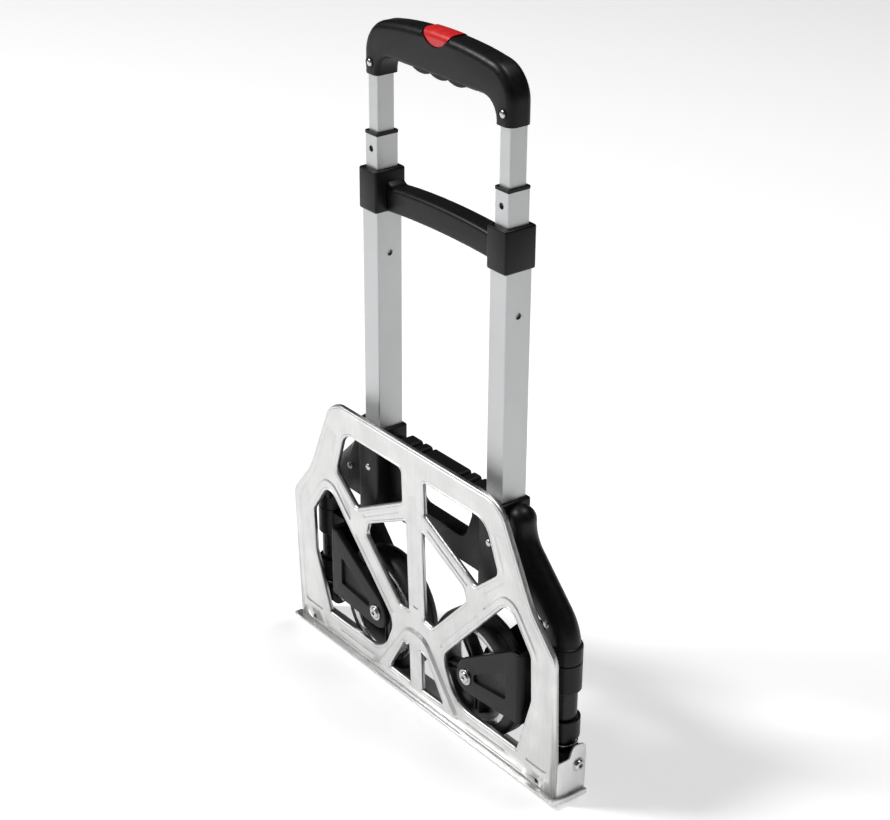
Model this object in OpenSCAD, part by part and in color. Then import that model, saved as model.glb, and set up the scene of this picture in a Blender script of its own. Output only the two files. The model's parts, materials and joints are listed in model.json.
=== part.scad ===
// Folding hand truck: telescopic handle, swing-out wheels and a fold-up toe plate.
// X runs across the truck, the toe plate is on the -Y side, Z is up from the floor.

/* [Toe plate] */
// Width of the toe plate
plate_w = 480; // [440:5:520]
// Height of the folded toe plate above its base rail
plate_h = 330; // [325:1:336]
// Forward lean of the folded toe plate in degrees
plate_lean = 2.1; // [1.5:0.1:3]
// Sheet thickness of the toe plate
sheet = 2.5; // [2:0.5:3]

/* [Frame] */
// Distance from the centre plane to each handle tube
tube_x = 109; // [105:1:112]
// Distance from the centre plane to each wheel post
post_x = 213.6; // [212:0.2:215]
// Outer radius of a wheel post
post_r = 14.2; // [13.8:0.1:14.5]
// Height of the top of the corner sockets
socket_top = 312.5; // [308:0.5:316]
// Underside of the upper bridge
bridge_z = 572; // [560:1:580]
// Height of the bridge collars
bridge_h = 47.5; // [45:0.5:50]

/* [Telescopic handle] */
// Outside width of the outer tube
outer_w = 27; // [26:0.5:28]
// Outside depth of the outer tube
outer_d = 33; // [32:0.5:34]
// Top of the middle tubes with the handle pushed in
middle_top = 656.5; // [650:0.5:660]
// Travel of each telescopic stage
stage_travel = 175; // [150:1:180]
// Top of the grip
grip_top = 791.3; // [788:0.1:796]
// Depth of the grip from front to back
grip_d = 30; // [28:1:32]
// Travel of the release button
button_travel = 4; // [3:0.5:4]

/* [Wheels] */
// Outside radius of a tyre
wheel_r = 75.2; // [73:0.1:75.5]
// Height of the axles above the floor
axle_z = 82.8; // [82.8:0.1:85]
// Distance from a wheel post to its axle
axle_reach = 129.1; // [128:0.1:130]
// Width of a tyre
tyre_w = 30; // [28:1:31]

/* [Hidden] */
$fn = 64;

plastic = [0.11, 0.11, 0.12];
aluminium = [0.82, 0.82, 0.83];
steel = [0.72, 0.72, 0.74];
button_red = [0.8, 0.15, 0.17];
rubber = [0.07, 0.07, 0.07];
rim_grey = [0.35, 0.35, 0.36];

left = -1;
right = 1;
slip = 0.2;             // gap between flat sliding faces
running = 0.05;         // radial gap of a turning fit
corner_r = 1.5;         // outside corner radius of the tubes

outer_wall = 1.5;
outer_bore_w = outer_w - 2 * outer_wall;
outer_bore_d = outer_d - 2 * outer_wall;
outer_bottom = 236;
outer_top = bridge_z + bridge_h - 4.5;
outer_hole_z = 523.7;

middle_w = 21.3;
middle_d = 27.9;
thin_wall = 1.2;
middle_bore_w = middle_w - 2 * thin_wall;
middle_bore_d = middle_d - 2 * thin_wall;
middle_pin_z = outer_hole_z - stage_travel;
middle_bottom = middle_pin_z + 14;
middle_hole_z = 641;
collar_h = 3.3;

inner_w = 16.6;
inner_d = 21.9;
inner_bore_w = inner_w - 2 * thin_wall;
inner_bore_d = inner_d - 2 * thin_wall;
inner_pin_z = middle_hole_z - stage_travel;
inner_bottom = inner_pin_z + 6;
inner_top = 752;
pin_r = 3.2;
pin_hole_r = 3.6;

grip_leg_bottom = 722.7;
grip_under = 746.7;
grip_half_w = 121;
grip_leg_w = 24;
grip_corner_r = 38;
grip_arch_r = 484;
grip_wall = 3;
rod_r = 3;

axle_y = -8.4;
axle_r = 4;
bearing_r = 11;
bearing_w = 7;
rim_r = wheel_r - 17;
yoke_front = -32;
yoke_back = 15;
front_wall = 7;
rear_wall = 3.5;
hub_half = 13;
spacer_gap = 0.1;
knuckle_r = 18.2;
low_knuckle = [66.5, 101.4];
high_knuckle = [131, 161];
collar_z = 161.4;
post_bottom = 54;
post_wall = 1.5;
bend_z = 174;
bend_r = 50;
bend_angle = 45;
slant = 68;
arm_r = 16;
web_front = -16.1;
web_rivets = [[132, 289], [154.7, 243], [198, 202]];

hinge_z = 40.3;
hinge_r = 4;
plate_y = -33;
rail_top = 8.9;
rail_back = 10;
rail_nose = -41;
ear_x = plate_w / 2 - sheet;

// A point list for an arc, from angle a0 to a1
function arc(c, r, a0, a1, n = 10) =
    [for (i = [0:n]) let (a = a0 + (a1 - a0) * i / n) c + r * [cos(a), sin(a)]];
function unit(v) = v / norm(v);

// The arc of radius r that rounds corner b between its neighbours a and c
function fillet(a, b, c, r, n) =
    r == 0 ? [b] :
    let (u = unit(a - b), v = unit(c - b), half = acos(u * v) / 2,
         centre = b + unit(u + v) * r / sin(half),
         first = b + u * r / tan(half) - centre, last = b + v * r / tan(half) - centre,
         start = atan2(first.y, first.x),
         sweep = (atan2(last.y, last.x) - start + 540) % 360 - 180)
    arc(centre, r, start, start + sweep, n);

// A closed outline with every corner rounded to its own radius
function rounded(p, r, n = 6) =
    let (k = len(p)) [for (i = [0:k - 1]) each fillet(p[(i + k - 1) % k], p[i], p[(i + 1) % k], r[i], n)];

function box_outline(w, d, r) =
    rounded([[-w / 2, -d / 2], [w / 2, -d / 2], [w / 2, d / 2], [-w / 2, d / 2]], [r, r, r, r], 4);

// The left piece is the mirror image of the right one
module on_side(side) { mirror([side == left ? 1 : 0, 0, 0]) children(); }
module at_tube(side) { translate([side * tube_x, 0, 0]) children(); }
module both_tubes() { for (side = [left, right]) at_tube(side) children(); }

// Stands a cylinder along Y or along X
module along_y(p, r, length) { translate(p) rotate([-90, 0, 0]) cylinder(r = r, h = length); }
module along_x(p, r, length) { translate(p) rotate([0, 90, 0]) cylinder(r = r, h = length); }

// Extrudes an outline drawn in X and Z, from y0 towards the back
module slab(y0, y1) { translate([0, y1, 0]) rotate([90, 0, 0]) linear_extrude(y1 - y0) children(); }

module rect_tube(w, d, bore_w, bore_d, z0, z1) {
    translate([0, 0, z0]) linear_extrude(z1 - z0) difference() {
        polygon(box_outline(w, d, corner_r));
        polygon(box_outline(bore_w, bore_d, 0.6));
    }
}

module block(w, d, r, z0, z1) {
    translate([0, 0, z0]) linear_extrude(z1 - z0) polygon(box_outline(w, d, r));
}

// A closed coil of round wire, as one swept skin along Z
module coil(radius, wire, turns, height) {
    steps = 16;
    sides = 6;
    rings = turns * steps;
    points = [for (i = [0:rings]) let (a = 360 * i / steps)
        for (j = [0:sides - 1]) let (b = 360 * j / sides)
            let (out = radius + wire * cos(b))
                [out * cos(a), out * sin(a), wire * sin(b) + height * i / rings]];
    skin = [for (i = [0:rings - 1], j = [0:sides - 1]) let (k = (j + 1) % sides)
        [i * sides + j, (i + 1) * sides + j, (i + 1) * sides + k, i * sides + k]];
    ends = [[for (j = [0:sides - 1]) j], [for (j = [sides - 1:-1:0]) rings * sides + j]];
    polyhedron(points, concat(skin, ends));
}

// ---- frame ----
module outer_tube(side) {
    color(aluminium) at_tube(side) difference() {
        rect_tube(outer_w, outer_d, outer_bore_w, outer_bore_d, outer_bottom, outer_top);
        along_x([-outer_w, 0, outer_hole_z], pin_hole_r, 2 * outer_w);
    }
}

module tube_guides() {
    guide_h = 40;
    color(plastic) both_tubes() rect_tube(outer_bore_w, outer_bore_d,
        middle_w + 2 * slip, middle_d + 2 * slip, outer_top - guide_h, outer_top);
}

module bridge_collar() {
    collar_w = 31;
    collar_d = 40;
    difference() {
        block(collar_w, collar_d, 3, bridge_z, bridge_z + bridge_h);
        block(outer_w, outer_d, corner_r, bridge_z - 1, outer_top);
        block(middle_w + 2 * slip, middle_d + 2 * slip, corner_r, outer_top - 1, bridge_z + bridge_h + 1);
    }
}

module upper_bridge() {
    bar_end = tube_x - 14;
    bar_h = 28.5;
    arch = 4.5;
    arch_r = (bar_end * bar_end + arch * arch) / (2 * arch);
    spread = asin(bar_end / arch_r);
    low = [0, bridge_z + arch - arch_r];
    color(plastic) {
        both_tubes() bridge_collar();
        slab(-6, 19.5) polygon(concat(
            arc(low, arch_r, 90 + spread, 90 - spread, 16),
            arc(low + [0, bar_h], arch_r, 90 - spread, 90 + spread, 16)));
    }
}

// Cross panel between the two corner brackets, with a hand opening
module lower_panel() {
    edge = tube_x - 18;
    bottom = 203;
    color(plastic) slab(-6, 15) difference() {
        union() {
            polygon(rounded([[-edge, bottom], [edge, bottom], [edge, 298], [-edge, 298]], [0, 0, 0, 0]));
            for (b = [[-33, 33], [36, 51], [-51, -36], [54, 76], [-76, -54]])
                polygon(rounded([[b[0], 290], [b[1], 290], [b[1], 306], [b[0], 306]], [0, 0, 4, 4]));
        }
        polygon(rounded([[-47, 234.5], [47, 234.5], [62, 277], [-62, 277]], [14, 14, 8, 8]));
    }
}

// The bent path in from the wheel post, grown to radius r: one bend, or both bends up to z_end
module bent_path(z0, r, bore, z_end) {
    module ring() { difference() { circle(r); if (bore > 0) circle(bore); } }
    dx = bend_r * (1 - cos(bend_angle));
    dz = bend_r * sin(bend_angle);
    run = slant * sin(bend_angle);
    translate([post_x, 0, z0]) linear_extrude(bend_z - z0) ring();
    translate([post_x - bend_r, 0, bend_z]) rotate([90, 0, 0])
        rotate_extrude(angle = bend_angle) translate([bend_r, 0]) ring();
    translate([post_x - dx, 0, bend_z + dz]) rotate([0, -bend_angle, 0]) linear_extrude(slant) ring();
    if (z_end > bend_z) {
        translate([post_x - 2 * dx - run + bend_r, 0, bend_z + 2 * dz + run]) rotate([90, 0, 0])
            rotate_extrude(angle = bend_angle) translate([-bend_r, 0]) ring();
        translate([post_x - 2 * dx - run, 0, bend_z + 2 * dz + run])
            linear_extrude(z_end - bend_z - 2 * dz - run) ring();
    }
}

// Steel tube with one bend, which the arm of the corner bracket slides over
module side_post(side) {
    color(plastic) on_side(side) bent_path(post_bottom, post_r, post_r - post_wall, 0);
}

// Rivet head standing on a front face at depth y
module rivet(p, y) {
    head_r = 5;
    head_h = 2;
    along_y([p.x, y - head_h, p.y], head_r, head_h);
}

// Socket for the outer tube, web plate, sleeve over the side post and its lower collar
module corner_bracket(side) {
    socket_w = 36;
    leg_bottom = 195;
    socket_y = [-23, 20];
    arm_top = 296;
    collar_h_low = 30.4;
    arm_end = post_x - 2 * bend_r * (1 - cos(bend_angle)) - slant * sin(bend_angle);
    color(plastic) on_side(side) difference() {
        union() {
            translate([tube_x, (socket_y[0] + socket_y[1]) / 2, 0])
                block(socket_w, socket_y[1] - socket_y[0], 2.5, leg_bottom, socket_top);
            bent_path(bend_z - 4, arm_r, 0, arm_top);
            translate([arm_end, 0, arm_top]) sphere(arm_r);
            translate([post_x, 0, collar_z]) cylinder(r = knuckle_r, h = collar_h_low);
            slab(web_front, 4) polygon(rounded([[tube_x, arm_top], [tube_x, 211.5], [178, 211.5], [200, 196],
                [200, 178], [post_x, 178], [post_x - 4, 205], [160, 250], [arm_end, arm_top]],
                [0, 0, 20, 20, 0, 0, 10, 10, 0]));
        }
        translate([tube_x, 0, 0]) block(outer_w, outer_d, corner_r, outer_bottom, socket_top + 1);
        translate([tube_x, -1.5, 0])
            block(socket_w - 7, socket_y[1] - socket_y[0] - 7, 1, leg_bottom - 1, outer_bottom - 4);
        bent_path(collar_z - 1, post_r, 0, arm_top);
    }
}

// Plug in the foot of a post, drilled across for the toe plate's hinge bolt
module post_foot(side) {
    eye_r = 13.5;
    eye_x = [200, 236];
    color(plastic) on_side(side) difference() {
        union() {
            along_x([eye_x[0], 0, hinge_z], eye_r, eye_x[1] - eye_x[0]);
            translate([eye_x[0], -eye_r, hinge_z])
                cube([eye_x[1] - eye_x[0], 2 * eye_r, post_bottom - hinge_z]);
            translate([post_x, 0, post_bottom - 1]) cylinder(r = post_r - post_wall, h = 36);
        }
        along_x([eye_x[0] - 1, 0, hinge_z], hinge_r + running, eye_x[1]);
    }
}

module fold_spring(side) {
    color(steel) on_side(side) translate([post_x, 0, post_bottom + 2.5]) coil(post_r + 1.4, 1, 3, 7.5);
}

module frame_rivets() {
    color(steel) for (side = [left, right]) on_side(side) {
        for (p = web_rivets) rivet(p, web_front);
        rivet([tube_x, 262], -23);
    }
}

// ---- middle stage ----
module middle_tube(side) {
    color(aluminium) at_tube(side) difference() {
        rect_tube(middle_w, middle_d, middle_bore_w, middle_bore_d, middle_bottom, middle_top);
        along_y([0, -middle_d, middle_hole_z], pin_hole_r, middle_d);
    }
}

module middle_collar(side) {
    hole_w = inner_w + 2 * slip;
    hole_d = inner_d + 2 * slip;
    sleeve_h = 9;
    color(plastic) at_tube(side) {
        rect_tube(middle_w + 0.8, middle_d + 0.8, hole_w, hole_d, middle_top, middle_top + collar_h);
        rect_tube(middle_bore_w, middle_bore_d, hole_w, hole_d, middle_top - sleeve_h, middle_top);
    }
}

// Guide shoe in the end of a tube: shoe size, spigot size and the tube's end
module foot_block(shoe_w, shoe_d, spigot_w, spigot_d, pin_z, tube_end) {
    block(shoe_w, shoe_d, 1, pin_z - 14, tube_end);
    block(spigot_w, spigot_d, 0.6, tube_end, tube_end + 22);
}

module middle_foot(side) {
    color(plastic) at_tube(side) difference() {
        foot_block(outer_bore_w - 2 * slip, outer_bore_d - 2 * slip, middle_bore_w, middle_bore_d,
            middle_pin_z, middle_bottom);
        along_x([-6, 0, middle_pin_z], pin_r + running, outer_w);
    }
}

module inner_foot(side) {
    color(plastic) at_tube(side) difference() {
        foot_block(middle_bore_w - 2 * slip, middle_bore_d - 2 * slip, inner_bore_w, inner_bore_d,
            inner_pin_z, inner_bottom);
        along_y([0, -middle_d, inner_pin_z], pin_r + running, middle_d + 6);
        translate([0, 0, inner_pin_z]) cylinder(r = rod_r + 0.4, h = 60);
    }
}

// Lock pins ride on the wall around them, and springs behind push them out
pin_length = 10;
module middle_lock_pins() {
    color(steel) both_tubes()
        along_x([outer_bore_w / 2 - slip - pin_length, 0, middle_pin_z], pin_r, pin_length);
}

module middle_pin_springs() {
    color(steel) both_tubes()
        translate([-6, 0, middle_pin_z]) rotate([0, 90, 0]) translate([0, 0, 0.5]) coil(2.2, 0.4, 3, 3.5);
}

module inner_lock_pins() {
    color(steel) both_tubes()
        along_y([0, -middle_bore_d / 2 + slip, inner_pin_z], pin_r, pin_length);
}

module inner_pin_springs() {
    color(steel) both_tubes()
        translate([0, 6, inner_pin_z]) rotate([90, 0, 0]) translate([0, 0, 0.5]) coil(2.2, 0.4, 3, 3.5);
}

// ---- handle stage ----
module inner_tube(side) {
    color(aluminium) at_tube(side)
        rect_tube(inner_w, inner_d, inner_bore_w, inner_bore_d, inner_bottom, inner_top);
}

// Side view of the grip: a shallow arch on two legs, shrunk all round by an inset
module grip_outline(inset) {
    side_x = grip_half_w - inset;
    centre = [grip_half_w - grip_corner_r, 745.6];
    lean_out = asin((centre.x + 5.9) / grip_arch_r);
    arch_c = [0, grip_top - grip_arch_r];
    leg_in = grip_half_w - grip_leg_w + inset;
    under = grip_under + inset;
    inner_r = 22;
    polygon(concat(
        [[side_x, grip_leg_bottom]],
        arc(centre, grip_corner_r - inset, 0, 90 - lean_out, 10),
        arc(arch_c, grip_arch_r - inset, 90 - lean_out, 90 + lean_out, 24),
        arc([-centre.x, centre.y], grip_corner_r - inset, 90 + lean_out, 180, 10),
        [[-side_x, grip_leg_bottom], [-leg_in, grip_leg_bottom]],
        arc([-leg_in + inner_r, under - inner_r], inner_r, 180, 90, 6),
        arc([leg_in - inner_r, under - inner_r], inner_r, 90, 0, 6),
        [[leg_in, grip_leg_bottom]]));
}

bar_z = 762;
bar_h = 6;
button_r = 23.5;
button_c = grip_top + 8.2;
button_half_w = sqrt(pow(button_r, 2) - pow(button_c - grip_top, 2));
button_d = grip_d - 3.6;

// The pocket of the button: a round-bottomed cut from front to back, widened by a gap
module button_slot(gap) { along_y([0, -grip_d, button_c], button_r + gap, 2 * grip_d); }

module grip_shell() {
    cover_w = 130;
    pocket_w = button_half_w + 0.4;
    pocket_d = button_d / 2 + 0.3;
    color(plastic) difference() {
        slab(-grip_d / 2, grip_d / 2) grip_outline(0);
        difference() {
            slab(-grip_d / 2 + grip_wall, grip_d / 2 - grip_wall) grip_outline(grip_wall);
            both_tubes() translate([-20, -grip_d, grip_leg_bottom]) cube([40, 2 * grip_d, 22]);
        }
        both_tubes() block(inner_w, inner_d, corner_r, grip_leg_bottom - 1, inner_top);
        translate([-cover_w / 2, -grip_d / 2 + grip_wall, grip_under - 1])
            cube([cover_w, grip_d - 2 * grip_wall, 6]);
        button_slot(0.3);
        translate([-pocket_w, -pocket_d, button_c - button_r - button_travel - 1])
            cube([2 * pocket_w, 2 * pocket_d, 40]);
    }
}

// Cover under the grip, with three finger bumps
module grip_underside() {
    cover_w = 130;
    bump_w = 29;
    bump_r = 36;
    color(plastic) slab(-grip_d / 2 + grip_wall, grip_d / 2 - grip_wall) {
        translate([-cover_w / 2, grip_under]) square([cover_w, 4]);
        for (i = [-1:1]) intersection() {
            translate([5 + i * bump_w, grip_under - 3.3 + bump_r]) circle(bump_r);
            translate([5 + (i - 0.5) * bump_w, grip_under - 4]) square([bump_w, 6]);
        }
    }
}

module grip_rivets() {
    color(steel) both_tubes() along_y([0, -grip_d / 2 - 1.2, 735], 4.6, 1.2);
}

// ---- release button and its linkage ----
module release_button() {
    proud = 0.8;
    color(button_red) intersection() {
        slab(-button_d / 2, button_d / 2)
            translate([0, grip_top - grip_arch_r + proud]) circle(grip_arch_r, $fn = 360);
        button_slot(0);
    }
}

// Bar across the inside of the grip, with a block up to the button
module release_bar() {
    bar_d = 12;
    color(plastic) {
        translate([-tube_x, -bar_d / 2, bar_z]) cube([2 * tube_x, bar_d, bar_h]);
        translate([-8, -bar_d / 2, bar_z + bar_h]) cube([16, bar_d, button_c - button_r - bar_z - bar_h]);
    }
}

module release_rod(side) {
    rod_end = inner_pin_z + pin_r + button_travel + 1;
    color(steel) at_tube(side) translate([0, 0, rod_end]) cylinder(r = rod_r, h = bar_z - rod_end);
}

module button_spring() {
    wire = 0.7;
    seat = grip_under + 4;
    color(steel) translate([0, 0, seat + wire + 0.05]) coil(6, wire, 5, bar_z - seat - 2 * wire - 0.1);
}

// ---- toe plate ----
module plate_outline(inset) {
    half = plate_w / 2;
    kink = [half, 177];
    waist = [half - 36, 223];
    offset(delta = -inset) polygon(rounded(
        [[-half, 0], [half, 0], kink, waist, [156, plate_h],
            [-156, plate_h], [-waist.x, waist.y], [-kink.x, kink.y]],
        [0, 0, 25, 80, 35, 35, 80, 25]));
}

upper_hole = [[127.5, 295], [148, 239], [109, 205], [19.6, 253], [19.6, 295]];
middle_hole = [[14.2, 231], [87.2, 194], [92.7, 178.8], [30.5, 112.3], [14.2, 114.5]];
wheel_hole = [[165, 212.5], [200.6, 163.5], [200.6, 107], [175.5, 30], [68, 29.5], [44.7, 82]];
centre_hole = [[10.9, 71], [21.8, 67.6], [51.2, 19.5], [10.9, 18.5]];

module plate_holes() {
    for (side = [left, right]) scale([side, 1]) {
        polygon(rounded(upper_hole, [22, 10, 8, 5, 6]));
        polygon(rounded(middle_hole, [3, 8, 6, 6, 3]));
        polygon(rounded(wheel_hole, [16, 12, 12, 4, 38, 20]));
        polygon(rounded(centre_hole, [2, 4, 3, 2]));
    }
}

module on_plate() { translate([0, plate_y, rail_top]) rotate([plate_lean, 0, 0]) children(); }

module toe_plate() {
    rim_depth = 6;
    rim_start = 60;
    hole_x = 210;
    hole_z = 16;
    hole_r = 2.9;
    color(aluminium) difference() {
        on_plate() difference() {
            union() {
                slab(0, sheet) plate_outline(0);
                slab(0, rim_depth) difference() {
                    plate_outline(0);
                    plate_outline(sheet);
                    translate([-plate_w, -1]) square([2 * plate_w, rim_start]);
                }
            }
            slab(-1, rim_depth + 1) plate_holes();
        }
        for (side = [left, right]) along_y([side * hole_x, plate_y - 10, hole_z], hole_r, 20);
    }
}

// Folded sheet under the plate, which the folded truck stands on
module toe_rail() {
    color(aluminium) translate([-plate_w / 2, 0, 0]) rotate([90, 0, 90]) linear_extrude(plate_w)
        polygon([[rail_nose, rail_top], [rail_nose, 6.4], [-18.5, 0], [rail_back, 0], [rail_back, sheet],
            [-18.1, sheet], [-30.4, 6.2], [-30.4, rail_top]]);
}

module toe_ear(side) {
    color(aluminium) on_side(side) difference() {
        translate([ear_x, 0, 0]) rotate([90, 0, 90]) linear_extrude(sheet)
            polygon(rounded(
                [[-30.3, 6.4], [-18.1, sheet], [rail_back, sheet], [11, 66], [-8, 66], [-13, 52], [-30.3, 52]],
                [0, 0, 0, 9, 6, 4, 3]));
        along_x([ear_x - 1, 0, hinge_z], hinge_r, sheet + 2);
    }
}

module hinge_bolt(side) {
    head_r = 6.5;
    color(steel) on_side(side) difference() {
        union() {
            along_x([193, 0, hinge_z], hinge_r, plate_w / 2 - 193);
            along_x([plate_w / 2, 0, hinge_z], head_r, 4);
            along_x([193, 0, hinge_z], 7, 6);
        }
        translate([plate_w / 2 + 1.5, 0, hinge_z]) rotate([0, 90, 0]) cylinder(r = 3, h = 5, $fn = 6);
    }
}

// ---- wheels, drawn for the right side with u running inwards from the post ----
module from_post(side) { on_side(side) translate([post_x, 0, 0]) mirror([1, 0, 0]) children(); }

function yoke_shape(top, shoulder) = rounded(
    [[40, 68], [112, 63], [axle_reach + 26, 62], [axle_reach + 12, 100], [shoulder, top], [40, top]],
    [4, 6, 19, 19, 8, 6]);

module wheel_bracket(side) {
    rear_rim = 6;
    recess = [[63, 124], [63, 90], [112, 84], [112, 94]];
    color(plastic) from_post(side) difference() {
        union() {
            slab(yoke_front, yoke_front + front_wall) polygon(yoke_shape(156, 52));
            slab(yoke_back - rear_wall, yoke_back) polygon(yoke_shape(174, 74));
            slab(yoke_back, yoke_back + rear_rim) difference() {
                polygon(yoke_shape(174, 74));
                offset(delta = -rear_wall) polygon(yoke_shape(174, 74));
            }
            translate([36, yoke_front, 68]) cube([8, yoke_back - yoke_front, 88]);
            for (k = [low_knuckle, high_knuckle]) {
                translate([0, 0, k[0]]) cylinder(r = knuckle_r, h = k[1] - k[0]);
                translate([0, -12, k[0]]) cube([40, yoke_back + 12, k[1] - k[0]]);
            }
        }
        for (k = [low_knuckle, high_knuckle])
            translate([0, 0, k[0] - 1]) cylinder(r = post_r + 1.6, h = k[1] - k[0] + 2);
        translate([0, 0, low_knuckle[1]]) cylinder(r = knuckle_r + 1, h = high_knuckle[0] - low_knuckle[1]);
        slab(yoke_front - 1, yoke_front + 5) polygon(rounded(recess, [3, 3, 4, 4]));
        along_y([axle_reach, -60, axle_z], axle_r, 120);
    }
}

// Plain bearing sleeves between the knuckles and the post
module post_bushes(side) {
    color(steel) from_post(side) for (k = [low_knuckle, high_knuckle]) translate([0, 0, k[0]]) difference() {
        cylinder(r = post_r + 1.6, h = k[1] - k[0]);
        translate([0, 0, -1]) cylinder(r = post_r + running, h = k[1] - k[0] + 2);
    }
}

module axle(side) {
    color(steel) from_post(side) difference() {
        union() {
            along_y([axle_reach, yoke_front, axle_z], axle_r, yoke_back - yoke_front + 8);
            along_y([axle_reach, yoke_front - 4, axle_z], 8, 4);
        }
        translate([axle_reach, yoke_front - 5, axle_z]) rotate([-90, 0, 0]) cylinder(r = 3, h = 4, $fn = 6);
    }
}

// A nut behind the bracket, and a spacer each side of the hub
module axle_fixings(side) {
    nut_h = 6.5;
    front_inner = yoke_front + front_wall;
    rear_inner = yoke_back - rear_wall;
    spacers = [[front_inner, axle_y - hub_half - spacer_gap], [axle_y + hub_half + spacer_gap, rear_inner]];
    color(steel) from_post(side) difference() {
        union() {
            translate([axle_reach, yoke_back, axle_z]) rotate([-90, 0, 0])
                cylinder(r = 7.5, h = nut_h, $fn = 6);
            for (s = spacers) along_y([axle_reach, s[0], axle_z], 6.5, s[1] - s[0]);
        }
        along_y([axle_reach, yoke_front, axle_z], axle_r, 60);
    }
}

module on_axle(side) { from_post(side) translate([axle_reach, axle_y, axle_z]) rotate([-90, 0, 0]) children(); }

module tyre(side) {
    half = tyre_w / 2;
    color(rubber) on_axle(side) rotate_extrude($fn = 96) polygon(rounded(
        [[rim_r, -half + 3], [rim_r + 4, -half], [wheel_r - 3, -half], [wheel_r, -half + 7],
         [wheel_r, half - 7], [wheel_r - 3, half], [rim_r + 4, half], [rim_r, half - 3]],
        [0, 2, 4, 5, 5, 4, 2, 0], 4));
}

// Spoked rim: felloe ring, hub and five pairs of spokes
module wheel_rim(side) {
    spokes = 5;
    half = tyre_w / 2;
    color(rim_grey) on_axle(side) difference() {
        union() {
            difference() {
                translate([0, 0, -half + 3]) cylinder(r = rim_r, h = tyre_w - 6, $fn = 96);
                translate([0, 0, -half]) cylinder(r = rim_r - 5, h = tyre_w, $fn = 96);
            }
                translate([0, 0, -hub_half]) cylinder(r = bearing_r + 4, h = 2 * hub_half);
            for (i = [0:spokes - 1]) rotate([0, 0, i * 360 / spokes + 18])
                translate([bearing_r, -6, -8]) cube([rim_r - bearing_r - 2, 12, 16]);
        }
        translate([0, 0, -20]) cylinder(r = bearing_r, h = 40);
    }
}

module bearings(side) {
    color(steel) on_axle(side) for (z = [-hub_half, hub_half - bearing_w]) translate([0, 0, z]) difference() {
        cylinder(r = bearing_r, h = bearing_w);
        translate([0, 0, -1]) cylinder(r = axle_r + running, h = bearing_w + 2);
    }
}

outer_tube(left);  // outer_tube_left
outer_tube(right);  // outer_tube_right
tube_guides();
upper_bridge();
lower_panel();
corner_bracket(left);  // corner_bracket_left
corner_bracket(right);  // corner_bracket_right
side_post(left);  // side_post_left
side_post(right);  // side_post_right
post_foot(left);  // post_foot_left
post_foot(right);  // post_foot_right
fold_spring(left);  // fold_spring_left
fold_spring(right);  // fold_spring_right
frame_rivets();
middle_tube(left);  // middle_tube_left
middle_tube(right);  // middle_tube_right
middle_collar(left);  // middle_collar_left
middle_collar(right);  // middle_collar_right
middle_foot(left);  // middle_foot_left
middle_foot(right);  // middle_foot_right
middle_lock_pins();
middle_pin_springs();
inner_tube(left);  // inner_tube_left
inner_tube(right);  // inner_tube_right
inner_foot(left);  // inner_foot_left
inner_foot(right);  // inner_foot_right
inner_lock_pins();
inner_pin_springs();
grip_shell();
grip_underside();
grip_rivets();
release_button();
release_bar();
release_rod(left);  // release_rod_left
release_rod(right);  // release_rod_right
button_spring();
toe_plate();
toe_rail();
toe_ear(left);  // toe_ear_left
toe_ear(right);  // toe_ear_right
hinge_bolt(left);  // hinge_bolt_left
hinge_bolt(right);  // hinge_bolt_right
wheel_bracket(left);  // wheel_bracket_left
wheel_bracket(right);  // wheel_bracket_right
post_bushes(left);  // post_bushes_left
post_bushes(right);  // post_bushes_right
axle(left);  // axle_left
axle(right);  // axle_right
axle_fixings(left);  // axle_fixings_left
axle_fixings(right);  // axle_fixings_right
tyre(left);  // tyre_left
tyre(right);  // tyre_right
wheel_rim(left);  // wheel_rim_left
wheel_rim(right);  // wheel_rim_right
bearings(left);  // bearings_left
bearings(right);  // bearings_right
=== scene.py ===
import json
from math import cos, pi, radians, sin, tan

import bmesh
import bpy
from mathutils import Matrix, Vector


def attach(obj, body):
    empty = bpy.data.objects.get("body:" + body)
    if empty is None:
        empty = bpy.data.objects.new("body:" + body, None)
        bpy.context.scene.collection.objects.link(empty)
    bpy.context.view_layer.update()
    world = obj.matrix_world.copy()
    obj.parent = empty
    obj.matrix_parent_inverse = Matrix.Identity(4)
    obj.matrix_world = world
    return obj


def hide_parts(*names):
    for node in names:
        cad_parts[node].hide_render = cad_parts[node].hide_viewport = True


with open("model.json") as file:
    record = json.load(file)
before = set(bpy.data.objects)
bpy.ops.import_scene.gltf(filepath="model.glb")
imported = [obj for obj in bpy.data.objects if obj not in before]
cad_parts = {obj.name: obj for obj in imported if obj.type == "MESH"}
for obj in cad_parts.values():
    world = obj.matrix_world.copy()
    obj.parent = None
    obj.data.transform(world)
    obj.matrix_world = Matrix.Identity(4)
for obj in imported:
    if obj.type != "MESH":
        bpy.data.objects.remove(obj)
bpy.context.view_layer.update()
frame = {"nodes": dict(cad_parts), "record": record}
scene = bpy.context.scene
mm = 0.001
weld = 0.002  # millimetres within which points are merged
sides = ("left", "right")
fineSteps, roundSteps, smallSteps = 96, 48, 32

cameraSet = {"place": (1.5342, -1.1991, 1.3294), "yaw": 51.93, "pitch": 26.218, "roll": 0.393,
             "lens": 80.84, "sensor": 36, "reach": 50}


def addCamera(s):
    data = bpy.data.cameras.new("camera")
    data.sensor_width = s["sensor"]
    data.lens = s["lens"]
    data.clip_end = s["reach"]
    camera = bpy.data.objects.new("camera", data)
    scene.collection.objects.link(camera)
    turn = Matrix.Rotation(radians(s["yaw"]), 4, "Z") @ Matrix.Rotation(radians(90 - s["pitch"]), 4, "X")
    tilt = Matrix.Rotation(radians(s["roll"]), 4, "Z")
    camera.matrix_world = Matrix.Translation(s["place"]) @ turn @ tilt
    scene.camera = camera


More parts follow.
